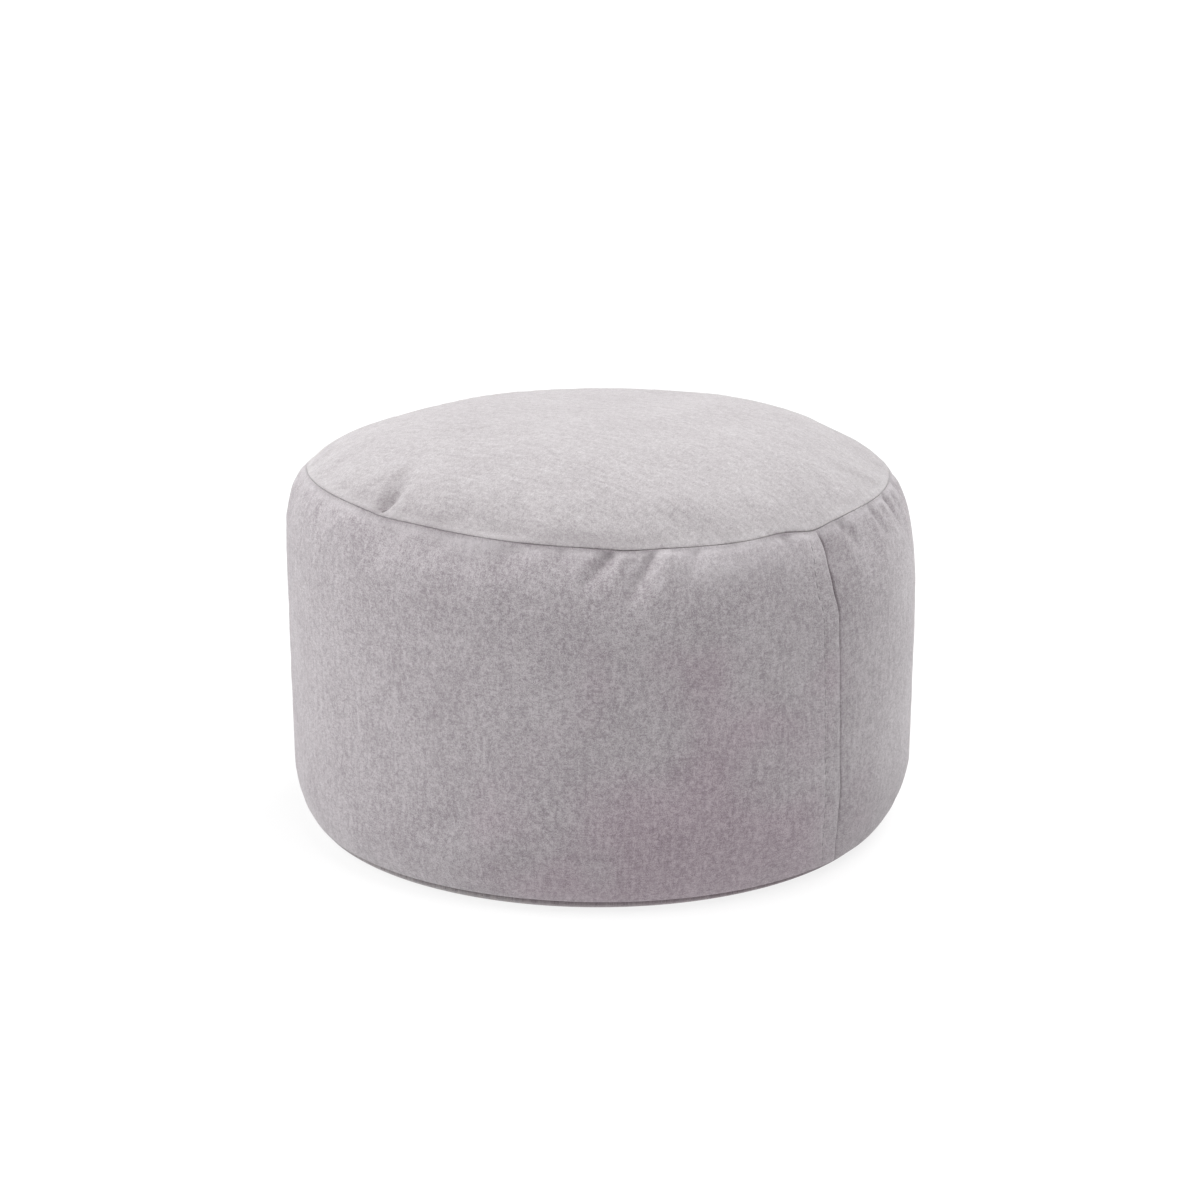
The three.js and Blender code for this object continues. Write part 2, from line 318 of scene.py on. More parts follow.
# Suns: the azimuth and elevation they shine from, 0 being the front, their strength and width in degrees
SUNS = {
    "left_softbox": Sun(-78, 44, 1.51, 40),
    "overhead_softbox": Sun(72, 73, 2.4, 40),
    "left_rim_light": Sun(-113, 12, 1.94, 85),
    "right_rim_light": Sun(145, 30, 1.5, 32),
}
SKY = Settings(wall=1.25, above=0.06, wall_top=3.5, fades_by=5)
FLOOR = Settings(colour=0.18, glow=0.825, half_width=200000, roughness=0.9, speckle=0.05, gloss=0.1)


def size_at(name, azimuth):
    """One of the cushion's sizes at an azimuth, with its swings."""
    size = SIZES[name]
    for swing in SWINGS:
        if swing.of == name:
            angle = swing.turns * np.radians(azimuth)
            size = size + swing.sine * np.sin(angle) + swing.cosine * np.cos(angle)
    return size


def bell(distance, half_width):
    return np.exp(-((distance / half_width) ** 2))


def smooth_step(x, low, high):
    share = np.clip((x - low) / (high - low), 0, 1)
    return share * share * (3 - 2 * share)


def turn_between(azimuth, other):
    return (azimuth - other + 180) % 360 - 180


def amount_at(stretches, azimuth):
    """What stretches of the top seam add up to at an azimuth."""
    return sum(at.amount * bell(turn_between(azimuth, at.azimuth), at.reach) for at in stretches)


def top_seam_height(azimuth):
    return size_at("top_seam_height", azimuth) - amount_at(SEAM_DIPS, azimuth)


def band_height(azimuth, share):
    """Height of a share of the way up the band, from its base seam to its top seam."""
    low = size_at("base_seam_height", azimuth)
    return low + (top_seam_height(azimuth) - low) * share


def side_radius(azimuth, height):
    """Radius of the outside: nearly upright, rolled in late at the shoulder and early at the foot."""
    bulge = size_at("bulge_radius", azimuth)
    middle = size_at("bulge_height", azimuth)
    seam = size_at("top_seam_radius", azimuth)
    foot = size_at("foot_radius", azimuth)
    climb = np.clip((height - middle) / (top_seam_height(azimuth) - middle), 0, 1)
    descent = np.clip((middle - height) / middle, 0, 1)
    upper = seam + (bulge - seam) * (1 - climb ** size_at("shoulder_power", azimuth))
    lower = foot + (bulge - foot) * np.sqrt(1 - descent**FOOT_POWER)
    return np.where(height > middle, upper, lower)


def polar(azimuth, radius, height):
    angle = np.radians(azimuth)
    return np.stack(np.broadcast_arrays(radius * np.sin(angle), -radius * np.cos(angle), height), -1)


def side_point(azimuth, height):
    return polar(azimuth, side_radius(azimuth, height), height)


def top_point(azimuth, inset):
    """Point of the crowned top at a distance in from its seam."""
    share = 1 - inset / TOP_RADIUS
    swing = (size_at("top_seam_height", azimuth) - SIZES["top_seam_height"]) * share**2
    dip = amount_at(SEAM_DIPS, azimuth) * share**DIP_POWER
    crown = CROWN_RISE * (1 - share**CROWN_POWER)
    height = SIZES["top_seam_height"] + swing - dip + crown
    return polar(azimuth, size_at("top_seam_radius", azimuth) * share, height)


def outward(surface, azimuth, along):
    """Unit normal of a surface, pointing out of the cushion."""
    onward = surface(azimuth + NORMAL_STEP, along) - surface(azimuth - NORMAL_STEP, along)
    upward = surface(azimuth, along + NORMAL_STEP) - surface(azimuth, along - NORMAL_STEP)
    normal = np.cross(onward, upward)
    return normal / np.linalg.norm(normal, axis=-1, keepdims=True)


def fold_lift(folds, azimuth, along):
    """Lift of soft lines that run from a head to a toe and fade towards the toe."""
    lift = 0
    for fold in folds:
        head_x = turn_between(fold.head[0], azimuth) * TOP_MM_PER_DEGREE
        head_y = fold.head[1] - along
        run_x = (fold.toe[0] - fold.head[0]) * TOP_MM_PER_DEGREE
        run_y = fold.toe[1] - fold.head[1]
        share = np.clip(-(head_x * run_x + head_y * run_y) / (run_x**2 + run_y**2), 0, 1)
        distance = np.hypot(head_x + share * run_x, head_y + share * run_y)
        lift = lift + fold.lift * (1 - FOLD_FADE * share) * bell(distance, fold.half_width)
    return lift


def fold_shade(folds, azimuth, along):
    """Little light reaches down into a fold, so it is shaded by its depth."""
    deep = [fold for fold in folds if fold.lift < 0]
    return -FOLD_SHADE * fold_lift(deep, azimuth, along)


def seam_hold(distance, reach):
    """The stitches hold the two edges together, so folds only open out past them."""
    return SEAM_HOLD.share + (1 - SEAM_HOLD.share) * smooth_step(distance, 0, reach)


def seam_roll(distance, radius):
    """An edge of cloth rolls in to its seam as a quarter round."""
    inside = np.clip(radius - distance, 0, radius)
    return np.sqrt(radius**2 - inside**2) - radius


def seam_opening(azimuth):
    """How far the top seam stands open, from 0 to 1."""
    return np.minimum(amount_at(SEAM_OPENINGS, azimuth), 1)


def top_seam_roll(distance, azimuth):
    """The top seam's edges roll in, more where it stands open, and the cloth beside it sinks a little."""
    closed, wide_open = TOP_SEAM_ROLL
    radius = closed + (wide_open - closed) * seam_opening(azimuth)
    return seam_roll(distance, radius) - SEAM_SINK * bell(distance, SINK_REACH)


def stripe(name, distance):
    """A soft stripe along a seam, for painted highlight and painted shade."""
    mark = STRIPES[name]
    return mark.share * bell(distance - mark.at, mark.half_width)


def soft_patches(patches, azimuth, along):
    """Patches of painted highlight and painted shade beside the top seam, each strongest at its middle."""
    total = 0
    for patch in patches:
        across = bell(turn_between(azimuth, patch.azimuth), patch.reach)
        total = total + patch.share * across * bell(along - patch.along, patch.depth)
    return total


def closing_seam_azimuth(height):
    seam = CLOSING_SEAM
    lean = seam.lean_per_mm * (seam.height - height)
    curl = seam.foot_curl * np.exp(-height / seam.foot_reach)
    step = seam.shoulder_step * smooth_step(height, seam.shoulder_from, seam.shoulder_to)
    step = step - seam.top_return * smooth_step(height, seam.return_from, seam.return_to)
    return seam.azimuth + lean + curl - step


def from_closing_seam(azimuth, height):
    """Distance round the band from the lap's fold, positive to its right."""
    return turn_between(azimuth, closing_seam_azimuth(height)) * BAND_MM_PER_DEGREE


def lap_lift(azimuth, height):
    """The lapping edge stands up on the left and dips along its stitches. The cloth to its right tucks in."""
    across = from_closing_seam(azimuth, height)
    low = size_at("base_seam_height", azimuth)
    from_seams = np.minimum(top_seam_height(azimuth) - height, height - low)
    raised = smooth_step(from_seams, 0, LAP.sewn_in)
    fold = np.exp(np.minimum(across, 0) / LAP.fade)
    rounded = np.sqrt(np.clip(1 - np.clip(across / LAP.edge + 1, 0, 1) ** 2, 0, 1))
    stitches = LAP.stitch_dip * bell(across + LAP.stitch_inset, LAP.stitch_half_width)
    over = LAP.rise * fold * rounded - stitches
    shoulder = smooth_step(height, CLOSING_SEAM.shoulder_from, CLOSING_SEAM.shoulder_to)
    tuck = LAP.tuck + LAP.tuck_at_shoulder * shoulder
    under = -tuck * np.exp(-np.maximum(across, 0) / LAP.tuck_reach)
    return raised * np.where(across <= 0, over, under)


def lap_shade(across, fall):
    """The dark line beside the lap, wider and deeper at the shoulder, where the lap stands open."""
    shade = LAP_SHADE
    shoulder = 1 - smooth_step(fall, shade.shoulder_fall, shade.shoulder_ends)
    reach = shade.line_reach + shade.shoulder_line_reach * shoulder
    line = (shade.line + shade.shoulder_line * shoulder) * bell(across - shade.line_at, reach)
    hollow = (shade.hollow + shade.shoulder_hollow * shoulder) * bell(across, shade.hollow_reach)
    return np.where(across > 0, line + hollow, 0) * smooth_step(fall, 0, shade.seam_reach)


def eased(count, pull):
    """Shares from 0 to 1 that crowd together at both ends."""
    even = np.linspace(0, 1, count + 1)
    return even - pull * np.sin(2 * np.pi * even) / (2 * np.pi)


def disc_layout(rings):
    """A square grid laid on a disc: each cell's share of the radius and its azimuth."""
    line = np.linspace(-1, 1, 2 * rings + 1)
    a, b = np.meshgrid(line, line, indexing="ij")
    share = np.maximum(np.abs(a), np.abs(b))
    wide = np.abs(a) >= np.abs(b)
    with np.errstate(divide="ignore", invalid="ignore"):
        across = math.pi / 4 * b / a + np.where(a < 0, math.pi, 0)
        upright = math.pi / 2 - math.pi / 4 * a / b + np.where(b < 0, math.pi, 0)
    angle = np.where(share == 0, 0, np.where(wide, across, upright))
    return share, np.degrees(angle) + 90 + LAYOUT_TURN


def layout_direction(azimuth):
    """Where a disc layout's outer cells hold an azimuth: its two grid places, from -1 to 1."""
    turn = np.radians((azimuth - 90 - LAYOUT_TURN + 45) % 360 - 45)
    quarter = np.floor((turn + math.pi / 4) / (math.pi / 2))
    slope = (turn - quarter * math.pi / 2) * 4 / math.pi
    full = np.ones_like(slope)
    sides = [quarter == 0, quarter == 1, quarter == 2]
    a = np.select(sides, [full, -slope, -full], slope)
    b = np.select(sides, [slope, full, -slope], -full)
    return a, b


def rim_order(rings):
    """Flat indices of a disc layout's outer cells, in order of azimuth, and those azimuths."""
    share, azimuth = disc_layout(rings)
    outer = np.flatnonzero(share.ravel() > 1 - 1e-9)
    turns = azimuth.ravel()[outer] % 360
    order = np.argsort(turns)
    return outer[order], turns[order]


def numbered(rows, after=0):
    """Vertex ids for rows of points."""
    return after + np.arange(rows[..., 0].size).reshape(rows.shape[:2])


def grid_faces(ids, wrap=False):
    """Quads of a grid of vertex ids, with rows going up and columns going round."""
    if wrap:
        ids = np.concatenate([ids, ids[:, :1]], 1)
    corners = ids[:-1, :-1], ids[:-1, 1:], ids[1:, 1:], ids[1:, :-1]
    return np.stack(corners, -1).reshape(-1, 4)


def fan_faces(ring, middle, upward):
    """Triangles from a ring of vertex ids, in order of azimuth, to one point at its middle."""
    onward = np.roll(ring, -1)
    corners = (ring, onward) if upward else (onward, ring)
    return np.stack([*corners, np.full_like(ring, middle)], -1)


def on_axis(height):
    return np.array([[0, 0, height]])


def placed(name, data):
    """A new object in the scene."""
    made = bpy.data.objects.new(name, data)
    bpy.context.collection.objects.link(made)
    return made


def make_mesh(name, points, quads, triangles=(), layout=None, highlight=None, painted_shade=None):
    """A smooth mesh from points in millimetres. A layout turns the vertex ids of face corners into their
    places on the cut cloth, also in millimetres."""
    mesh = bpy.data.meshes.new(name)
    mesh.from_pydata((points * MM).tolist(), [], [*map(list, quads), *map(list, triangles)])
    mesh.polygons.foreach_set("use_smooth", np.ones(len(mesh.polygons), bool))
    if layout is not None:
        corners = np.empty(len(mesh.loops), np.int32)
        mesh.loops.foreach_get("vertex_index", corners)
        places = layout(corners).astype(np.float32)
        mesh.uv_layers.new(name="cut_cloth").data.foreach_set("uv", places.ravel())
    # Painted highlight and painted shade, kept on the points for the cloth's material
    for mark, values in (("edge_fuzz", highlight), ("seam_shade", painted_shade)):
        if values is not None:
            mesh.attributes.new(mark, "FLOAT", "POINT").data.foreach_set("value", values.astype(np.float32))
    mesh.update()
    return placed(name, mesh)


def sewn_cover():
    """The whole cover as one coarse mesh: points, faces, and the ids of its rows from foot to top seam."""
    rings = EASE.rings
    rim, rim_azimuth = rim_order(rings)
    share, azimuth = disc_layout(rings)
    top = top_point(azimuth, (1 - share) * TOP_RADIUS).reshape(-1, 3)
    around, climb = np.meshgrid(rim_azimuth, np.linspace(0, 1, EASE.rows + 1)[1:-1])
    band = side_point(around, band_height(around, climb)).reshape(-1, 3)
    base = polar(azimuth, size_at("foot_radius", azimuth) * share, 0.0).reshape(-1, 3)
    base[rim] = side_point(rim_azimuth, size_at("base_seam_height", rim_azimuth))

    top_ids = np.arange(share.size).reshape(share.shape)
    band_ids = len(top) + np.arange(len(band)).reshape(-1, len(rim))
    base_ids = len(top) + len(band) + top_ids
    rows = np.concatenate([base_ids.ravel()[rim][None], band_ids, top_ids.ravel()[rim][None]])
    faces = np.concatenate([grid_faces(top_ids.T), grid_faces(rows, wrap=True), grid_faces(base_ids)])
    return np.concatenate([top, band, base]), faces, rows


def set_weights(cover, name, weights):
    group = cover.vertex_groups.new(name=name)
    for index, weight in enumerate(weights):
        group.add([index], float(weight), "REPLACE")


def settled(cover):
    """Points of a cover in millimetres once its cloth has settled."""
    scene = bpy.context.scene
    for step in range(1, EASE.frames + 1):
        scene.frame_set(step)
    result = cover.evaluated_get(bpy.context.evaluated_depsgraph_get())
    places = np.empty(len(cover.data.vertices) * 3)
    result.data.vertices.foreach_get("co", places)
    scene.frame_set(1)
    return places.reshape(-1, 3) / MM


def eased_filling():
    """Inflates the sewn cover as cloth and gives how far it moved: over the band, and over the top."""
    points, faces, rows = sewn_cover()
    draw = np.random.default_rng(EASE.seed)
    started = points + draw.normal(0, EASE.uneven, points.shape) * (points[:, 2:] > EASE.even_below)
    cover = make_mesh("sewn_cover", started, faces)

    share, _ = disc_layout(EASE.rings)
    distance = np.full(len(points), FAR_FROM_SEAMS)
    distance[:share.size] = ((1 - share) * TOP_RADIUS).ravel()
    distance[rows] = np.abs(points[rows[-1:], 2] - points[rows, 2])
    full = bell(distance - EASE.full_at, EASE.full_reach)
    full = full * smooth_step(distance, 0, EASE.full_past_seam)
    held = EASE.held + (EASE.held_seam - EASE.held) * np.exp(-distance / EASE.held_reach)
    held[-share.size:] = 1
    set_weights(cover, "taut", 1 - full)
    set_weights(cover, "resting", held)

    settings = cover.modifiers.new("filling", "CLOTH").settings
    settings.effector_weights.gravity = 0
    for name, value in COVER_CLOTH.items():
        setattr(settings, name, value)
    moved = settled(cover) - points
    bpy.data.objects.remove(cover)
    return moved[rows], moved[:share.size].reshape(*share.shape, 3)


def cubic_weights(part):
    """Catmull-Rom weights of four cells, for a part of the way from the second to the third."""
    return (
        part * (-0.5 + part * (1 - part / 2)),
        1 + part * part * (1.5 * part - 2.5),
        part * (0.5 + part * (2 - 1.5 * part)),
        part * part * (part - 1) / 2,
    )


def resampled(field, row, column):
    """A field read smoothly between its cells."""
    height, width = field.shape
    row = np.clip(row, 0, height - 1)
    column = np.clip(column, 0, width - 1)
    low, left = np.floor(row).astype(int), np.floor(column).astype(int)
    total = 0
    for i, row_weight in enumerate(cubic_weights(row - low)):
        for j, column_weight in enumerate(cubic_weights(column - left)):
            cell = field[np.clip(low + i - 1, 0, height - 1), np.clip(left + j - 1, 0, width - 1)]
            total = total + row_weight * column_weight * cell
    return total


class Filling:
    """How the eased filling pushes the cloth out or lets it in, over the band and over the top."""

    def __init__(self):
        share, azimuth = disc_layout(EASE.rings)
        _, rim_azimuth = rim_order(EASE.rings)
        self.first = rim_azimuth[0]
        self.round = len(rim_azimuth)
        self.band = np.zeros((EASE.rows + 1, self.round + WRAP.before + WRAP.after))
        self.top = np.zeros(share.shape)
        band, top = eased_filling()
        around, climb = np.meshgrid(rim_azimuth, np.linspace(0, 1, EASE.rows + 1))
        height = np.clip(band_height(around, climb), NORMAL_STEP, top_seam_height(around) - NORMAL_STEP)
        pushed = (band * outward(side_point, around, height)).sum(-1)
        pushed = pushed - pushed.mean(1, keepdims=True)
        self.band = np.concatenate([pushed[:, -WRAP.before:], pushed, pushed[:, :WRAP.after]], 1)
        inset = np.clip((1 - share) * TOP_RADIUS, NORMAL_STEP, TOP_RADIUS - NORMAL_STEP)
        self.top = (top * outward(top_point, azimuth, inset)).sum(-1)
        ring = np.rint(share * EASE.rings).astype(int)
        for at in range(EASE.rings + 1):
            self.top[ring == at] -= self.top[ring == at].mean()

    def kept(self, push):
        return EASE.most * np.tanh(EASE.kept * push / EASE.most)

    def band_lift(self, azimuth, share):
        column = WRAP.before + ((azimuth - self.first) % 360) / 360 * self.round
        return self.kept(resampled(self.band, share * EASE.rows, column))

    def top_lift(self, azimuth, inset):
        share = 1 - inset / TOP_RADIUS
        a, b = layout_direction(azimuth)
        rings = EASE.rings
        return self.kept(resampled(self.top, rings * (1 + a * share), rings * (1 + b * share)))


def column_azimuth(column, height):
    """Mesh columns near the closing seam bend along with it."""
    apart = np.abs(turn_between(column, CLOSING_SEAM.azimuth)) / FOLLOW.within
    nearness = smooth_step(1 - apart, 0, FOLLOW.full_from)
    return column + nearness * (closing_seam_azimuth(height) - CLOSING_SEAM.azimuth)


def band_place(column, share, filling):
    """Point on the band's outside at a share of its height, with its azimuth and its fall below the seam."""
    low = size_at("base_seam_height", column)
    height = band_height(column, share)
    azimuth = column_azimuth(column, height)
    fall = top_seam_height(azimuth) - height
    swell = smooth_step(fall, 0, EASE.seam_reach) * smooth_step(height - low, 0, EASE.foot_reach)
    lift = (
        fold_lift(BAND_GATHERS, azimuth, fall) * seam_hold(fall, SEAM_HOLD.band_reach)
        + lap_lift(azimuth, height)
        + top_seam_roll(fall, azimuth)
        + seam_roll(height - low, BASE_SEAM_ROLL)
        + filling.band_lift(azimuth, share) * swell
    )
    inside = np.clip(height, NORMAL_STEP, top_seam_height(azimuth) - NORMAL_STEP)
    point = side_point(azimuth, inside) + outward(side_point, azimuth, inside) * lift[..., None]
    return point, azimuth, fall


def top_place(azimuth, inset, filling):
    """Point on the top's outside at a distance in from its seam."""
    lift = (
        fold_lift(TOP_FOLDS, azimuth, inset) * seam_hold(inset, SEAM_HOLD.top_reach)
        + top_seam_roll(inset, azimuth)
        + filling.top_lift(azimuth, inset) * smooth_step(inset, 0, EASE.seam_reach)
    )
    inside = np.clip(inset, NORMAL_STEP, TOP_RADIUS - NORMAL_STEP)
    return top_point(azimuth, inset) + outward(top_point, azimuth, inside) * lift[..., None]


def turned_in(ring, place):
    """Rows of a seam's turned-in edge, which run from its ring of points towards the axis."""
    flat = ring[:, :2] / np.linalg.norm(ring[:, :2], axis=1, keepdims=True)
    rows = []
    for inward, up in zip(TURNED_IN, TURNED_RISES[place]):
        step = np.concatenate([-inward * flat, np.full((len(ring), 1), up)], 1)
        rows.append(ring + step)
    return np.stack(rows)


def cloth_from_middle(inset):
    """The top is cut as a flat disc: how far from its middle a place was, measured over the crown."""
    reach = np.linspace(0, TOP_RADIUS, CROWN_STEPS)
    rise = top_point(0.0, reach)[:, 2]
    cut = np.concatenate([[0], np.cumsum(np.hypot(np.diff(reach), np.diff(rise)))])
    return np.interp(TOP_RADIUS - inset, reach, cut[-1] - cut[::-1])


def top_panel(filling):
    share, azimuth = disc_layout(TOP_RINGS)
    inset = (1 - share) ** TOP_RING_POWER * TOP_RADIUS
    skin = top_place(azimuth, inset, filling)
    rim, rim_azimuth = rim_order(TOP_RINGS)
    edge = turned_in(skin.reshape(-1, 3)[rim], "top")
    points = np.concatenate([skin.reshape(-1, 3), edge.reshape(-1, 3), on_axis(SIZES["top_seam_height"])])

    ids, edge_ids = numbered(skin), numbered(edge, share.size)
    rows = np.concatenate([edge_ids[::-1], ids.ravel()[rim][None]])
    quads = np.concatenate([grid_faces(ids.T), grid_faces(rows, wrap=True)])
    fan = fan_faces(edge_ids[-1], len(points) - 1, upward=False)

    around, allowance = np.meshgrid(rim_azimuth, TURNED_IN)
    edge_radius = cloth_from_middle(0) + allowance
    radius = np.concatenate([cloth_from_middle(inset).ravel(), edge_radius.ravel(), [0]])
    turn = np.radians(np.concatenate([azimuth.ravel(), around.ravel(), [0]]) - GRAIN_TURN)
    flat = np.stack([radius * np.sin(turn), -radius * np.cos(turn)], -1)

    hidden = len(points) - share.size
    # Painted highlight where the top's rolled edge catches the light
    highlight = np.append(stripe("top_highlight", inset), np.zeros(hidden))
    lines = stripe("top_line", inset) + stripe("beside_line", inset)
    # Painted shade in the seam, the folds and the patches beside the seam; the turned-in cloth is all in
    # painted shade
    painted_shade = (
        SEAM_SHADE * seam_opening(azimuth) * lines
        + fold_shade(TOP_FOLDS, azimuth, inset)
        + soft_patches(SHADED_PATCHES, azimuth, inset)
    )
    painted_shade = np.append(painted_shade, np.ones(hidden))
    return make_mesh("top_cloth", points, quads, fan, lambda corners: flat[corners], highlight, painted_shade)


def band_columns():
    """Azimuths of the band's mesh columns, once round from the right of the closing seam to its left."""
    seam = CLOSING_SEAM.azimuth
    lap = seam + np.array(LAP_COLUMNS) / BAND_MM_PER_DEGREE
    even = np.arange(BAND_COLUMNS) * 360 / BAND_COLUMNS + seam
    clear = np.abs(turn_between(even[:, None], lap[None, :])).min(1) > COLUMN_GAP
    return np.sort(np.concatenate([even[clear], np.where(lap < seam, lap + 360, lap)]))


def strip_layout(columns, skin, ids, quad_count):
    """The band is cut as one straight strip: a layout that lays its faces out side by side."""
    climb = np.linalg.norm(np.diff(skin, axis=0), axis=-1).mean(1)
    up = np.concatenate([[0], np.cumsum(climb)])
    allowance = np.array(TURNED_IN)
    up = np.concatenate([-allowance[::-1], up, up[-1] + allowance])
    along = np.append(columns, columns[0] + 360) * BAND_MM_PER_DEGREE
    count = len(columns)

    def layout(corners):
        row, column = np.divmod(np.minimum(corners, ids.size - 1), count)
        quads = column[:quad_count * 4].reshape(-1, 4)
        closing = (quads == 0) & (quads.max(1, keepdims=True) == count - 1)
        column[:quad_count * 4] = np.where(closing, count, quads).ravel()
        return np.stack([along[column], up[row]], -1)

    return layout


def side_band(filling):
    columns = band_columns()
    around, climb = np.meshgrid(columns, eased(BAND_ROWS, BAND_ROW_PULL))
    skin, azimuth, fall = band_place(around, climb, filling)
    skin[-1] = top_place(columns, np.zeros_like(columns), filling) - on_axis(SEAM_GAP)
    rows = np.concatenate([turned_in(skin[0], "band_foot")[::-1], skin, turned_in(skin[-1], "band_head")])
    low = on_axis(SIZES["base_seam_height"] + BAND_CLOSED_AT.foot)
    high = on_axis(SIZES["top_seam_height"] + BAND_CLOSED_AT.head)
    points = np.concatenate([rows.reshape(-1, 3), low, high])

    ids = numbered(rows)
    quads = grid_faces(ids, wrap=True)
    fans = np.concatenate([
        fan_faces(ids[0], len(points) - 2, upward=False),
        fan_faces(ids[-1], len(points) - 1, upward=True),
    ])

    shown = slice(len(TURNED_IN), -len(TURNED_IN))
    across = from_closing_seam(azimuth, top_seam_height(azimuth) - fall)
    # Painted highlight where the band's rolled edge and the lap's fold catch the light, and in patches under
    # the seam
    highlight = np.zeros(rows.shape[:2])
    highlight[shown] = (
        stripe("band_highlight", fall)
        + stripe("lap_highlight", across)
        + soft_patches(HIGHLIGHT_PATCHES, azimuth, fall)
    )
    # Painted shade in the seams, the gathers, beside the lap and along the base seam; the turned-in cloth is
    # all in painted shade
    painted_shade = np.ones(rows.shape[:2])
    lines = stripe("band_line", fall) + stripe("beside_line", fall)
    above_base = band_height(around, climb) - size_at("base_seam_height", around)
    painted_shade[shown] = (
        SEAM_SHADE * seam_opening(azimuth) * lines
        + fold_shade(BAND_GATHERS, azimuth, fall) * seam_hold(fall, SEAM_HOLD.band_reach)
        + lap_shade(across, fall)
        + stripe("base_line", above_base)
    )
    highlight, painted_shade = (np.append(mark, [0, 0]) for mark in (highlight, painted_shade))
    layout = strip_layout(columns, skin, ids, len(quads))
    return make_mesh("band_cloth", points, quads, fans, layout, highlight, painted_shade)


def base_panel():
    share, azimuth = disc_layout(BASE_RINGS)
    rim, rim_azimuth = rim_order(BASE_RINGS)
    flat_skin = polar(azimuth, size_at("foot_radius", azimuth) * share, 0.0)
    around, climb = np.meshgrid(rim_azimuth, np.linspace(0, 1, RIM_ROWS + 1)[1:])
    seam_height = size_at("base_seam_height", around)
    height = seam_height * climb**2
    lift = seam_roll(seam_height - height, BASE_SEAM_ROLL) * climb
    normal = outward(side_point, around, np.maximum(height, NORMAL_STEP))
    upturn = side_point(around, height) + normal * lift[..., None]
    upturn[..., 2] = np.maximum(upturn[..., 2] - SEAM_GAP * climb, 0)
    rows = np.concatenate([upturn, turned_in(upturn[-1], "base")])
    middle = on_axis(SIZES["base_seam_height"])
    points = np.concatenate([flat_skin.reshape(-1, 3), rows.reshape(-1, 3), middle])

    ids, row_ids = numbered(flat_skin), numbered(rows, share.size)
    skirt = np.concatenate([ids.ravel()[rim][None], row_ids])
    quads = np.concatenate([grid_faces(ids), grid_faces(skirt, wrap=True)])
    fan = fan_faces(row_ids[-1], len(points) - 1, upward=True)
    flat = points[:, :2]
    return make_mesh("base_cloth", points, quads, fan, lambda corners: flat[corners])


class Value:
    """A node's output socket that takes part in Python sums."""

    def __init__(self, nodes, socket):
        self.nodes = nodes
        self.socket = socket

    def other(self, name):
        """Another output of the same node."""
        return Value(self.nodes, self.socket.node.outputs[name])

    def __add__(self, other):
        return self.nodes.maths("ADD", self, other)

    __radd__ = __add__

    def __sub__(self, other):
        return self.nodes.maths("SUBTRACT", self, other)

    def __rsub__(self, other):
        return self.nodes.maths("SUBTRACT", other, self)

    def __mul__(self, other):
        return self.nodes.maths("MULTIPLY", self, other)

    __rmul__ = __mul__

    def __pow__(self, other):
        return self.nodes.maths("POWER", self, other)


class Nodes:
    """The nodes of one tree: a material's, the sky's or the stitch row's."""

    def __init__(self, tree):
        self.tree = tree
        self.tree.nodes.clear()

    def node(self, kind, settings=None, sockets=None, out=0):
        """Adds a node: its settings, then what its sockets hold or are linked to. Gives one of its outputs.
        The stops of a colour ramp go with its settings."""
        made = self.tree.nodes.new(kind)
        for name, value in (settings or {}).items():
            if name == "stops":
                self.set_stops(made.color_ramp, value)
            else:
                setattr(made, name, value)
        for name, value in (sockets or {}).items():
            if isinstance(value, Value):
                self.tree.links.new(value.socket, made.inputs[name])
            else:
                made.inputs[name].default_value = value
        return Value(self, made.outputs[out]) if len(made.outputs) else None

    def set_stops(self, ramp, stops):
        while len(ramp.elements) < len(stops):
            ramp.elements.new(0.5)
        for element, (position, colour) in zip(ramp.elements, stops):
            element.position = position
            element.color = (*colour, 1)

    def maths(self, operation, *operands):
        return self.node("ShaderNodeMath", {"operation": operation}, dict(enumerate(operands)))

    def blend(self, share, one, other, kind="MIX"):
        """Mixes two colours."""
        one, other = ((*side, 1) if isinstance(side, tuple) else side for side in (one, other))
        settings = {"data_type": "RGBA", "blend_type": kind}
        return self.node("ShaderNodeMix", settings, {0: share, 6: one, 7: other}, out=2)

    def tinted(self, share, colour, tint):
        """A colour that takes on a tint by a share."""
        return self.blend(share, colour, self.blend(1.0, colour, tint, "MULTIPLY"))

    def scaled(self, place, by, plus=(0, 0, 0)):
        return self.node("ShaderNodeVectorMath", {"operation": "MULTIPLY_ADD"}, {0: place, 1: by, 2: plus})

    def grain(self, name, place, out=0):
        """Noise of one of the named grains."""
        grain = GRAINS[name]
        laid = self.scaled(place, grain.scale, grain.start)
        fineness = {"Detail": grain.detail, "Roughness": grain.roughness}
        return self.node("ShaderNodeTexNoise", None, {"Vector": laid, "Scale": 1, **fineness}, out)

    def ramp(self, value, low, high):
        """0 below low and 1 above high, smoothly."""
        sockets = {"Value": value, "From Min": low, "From Max": high, "To Min": 0, "To Max": 1}
        return self.node("ShaderNodeMapRange", {"interpolation_type": "SMOOTHSTEP"}, sockets)

    def surface(self, sockets):
        """Ends a material's nodes in one principled surface."""
        principled = self.node("ShaderNodeBsdfPrincipled", None, sockets)
        self.node("ShaderNodeOutputMaterial", None, {"Surface": principled})


def new_material(name):
    material = bpy.data.materials.new(name)
    material.use_nodes = True
    return material, Nodes(material.node_tree)


